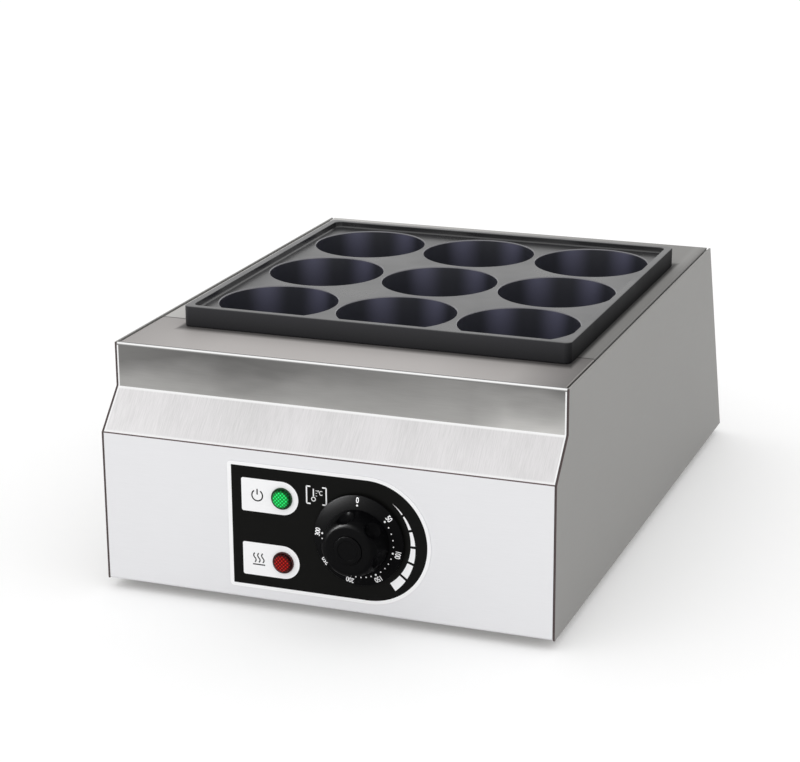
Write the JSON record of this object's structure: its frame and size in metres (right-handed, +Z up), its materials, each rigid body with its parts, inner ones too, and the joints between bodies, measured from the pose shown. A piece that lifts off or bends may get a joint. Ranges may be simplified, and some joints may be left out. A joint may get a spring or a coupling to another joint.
{
  "type": "egg burger maker",
  "caption": "Countertop electric egg burger maker: stepped stainless steel cabinet, raised square black mould with round wells, thermostat knob and signal lamps.",
  "frame": {"origin": "middle of the bounding box on the plane under the feet", "axes": "+Z up, -Y to the control face, +X to the right seen from the front"},
  "size_m": [0.35, 0.5394, 0.2015],
  "materials": {
    "front_steel": "satin, finely brushed",
    "side_steel": "satin",
    "top_steel": "satin, brushed",
    "inner_steel": "mill finish",
    "nonstick": "black non-stick coating on cast aluminium",
    "element_steel": "heat-darkened",
    "zinc": "zinc plated",
    "board": "pressed mineral fibre, matt",
    "label_black": "printed film, satin",
    "knob_black": "moulded, satin",
    "green_lens": "faceted, translucent",
    "red_lens": "faceted, translucent",
    "rubber": "matt",
    "ceramic": "glazed ceramic",
    "nylon": "moulded, satin",
    "copper": "drawn copper",
    "live_insulation": "silicone, matt",
    "neutral_insulation": "silicone, matt"
  },
  "bodies": {
    "cabinet": {"front_cover": "front_steel", "left_side_panel": "side_steel", "right_side_panel": "side_steel", "rear_panel": "side_steel", "base_plate": "inner_steel", "top_plate": "top_steel", "mould_plate": "nonstick", "heating_element_left": "element_steel", "heating_element_middle": "element_steel", "heating_element_right": "element_steel", "heater_link_left": "zinc", "heater_link_right": "zinc", "clamp_bar_front": "inner_steel", "clamp_bar_rear": "inner_steel", "mould_stud_1": "zinc", "mould_stud_2": "zinc", "mould_stud_3": "zinc", "mould_stud_4": "zinc", "stud_nut_1": "zinc", "stud_nut_2": "zinc", "stud_nut_3": "zinc", "stud_nut_4": "zinc", "heat_tray": "inner_steel", "insulation_board": "board", "control_label": "label_black", "thermostat_body": "ceramic", "thermostat_screw_1": "zinc", "thermostat_screw_2": "zinc", "power_lamp_body": "nylon", "power_lamp_lens": "green_lens", "power_lamp_clip": "nylon", "heat_lamp_body": "nylon", "heat_lamp_lens": "red_lens", "heat_lamp_clip": "nylon", "sensor_bulb": "copper", "capillary_tube": "copper", "foot_front_left": "rubber", "foot_front_right": "rubber", "foot_rear_left": "rubber", "foot_rear_right": "rubber", "foot_screw_front_left": "zinc", "foot_screw_front_right": "zinc", "foot_screw_rear_left": "zinc", "foot_screw_rear_right": "zinc", "rear_screw_lower_left": "zinc", "rear_screw_lower_right": "zinc", "rear_screw_upper_left": "zinc", "rear_screw_upper_right": "zinc", "cable_gland": "nylon", "gland_nut": "nylon", "gland_locknut": "nylon", "terminal_block": "ceramic", "live_wire": "live_insulation", "heater_wire": "live_insulation", "neutral_wire": "neutral_insulation"},
    "knob": {"knob_dial": "knob_black", "knob_grip": "knob_black", "knob_cap": "knob_black", "thermostat_shaft": "zinc"}
  },
  "joints": [
    {"name": "thermostat_turn", "type": "hinge", "parent": "cabinet", "child": "knob", "pos_m": [0.0295, -0.2443, 0.066], "axis": [0, -1, 0], "range_deg": [0, 276]}
  ]
}
